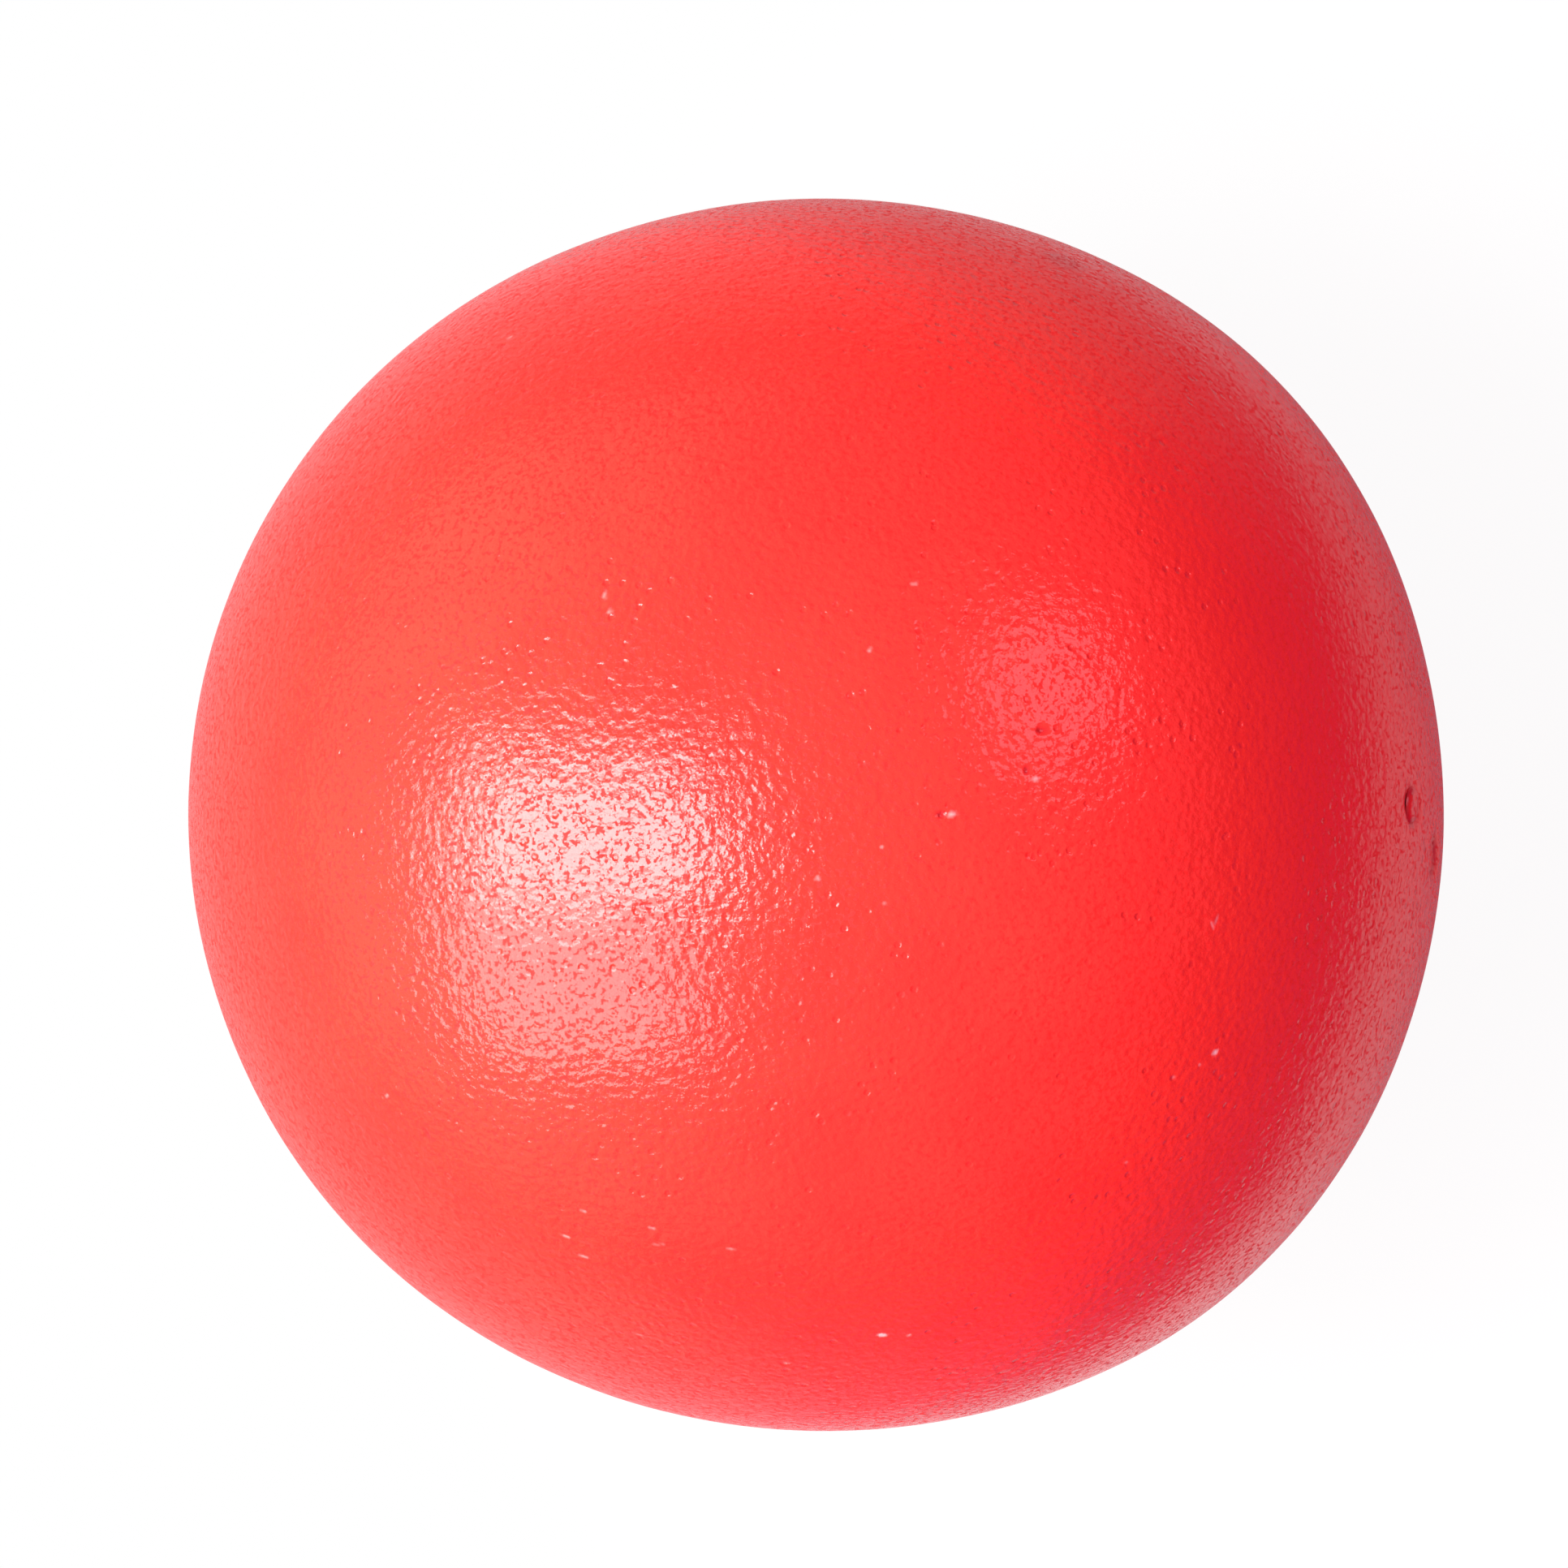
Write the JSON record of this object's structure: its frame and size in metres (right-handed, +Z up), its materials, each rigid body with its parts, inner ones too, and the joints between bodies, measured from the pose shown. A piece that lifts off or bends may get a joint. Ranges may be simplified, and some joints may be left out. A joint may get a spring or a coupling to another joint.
{
  "type": "dodgeball",
  "caption": "Soft coated-foam dodgeball, slightly out of round, with a leathery red skin over a foam core and sealed holder marks at one pole.",
  "frame": {"origin": "middle of the ball's length and width, on the floor that it rests on", "axes": "+X along the ball's turning axis towards its holder marks, +Z up"},
  "size_m": [0.1788, 0.1756, 0.1751],
  "materials": {
    "red_skin": "satin",
    "foam": "matte"
  },
  "bodies": {
    "root": {"foam_core": "foam", "skin": "red_skin", "upper_prong_plug": "red_skin", "lower_prong_plug": "red_skin"}
  },
  "joints": []
}
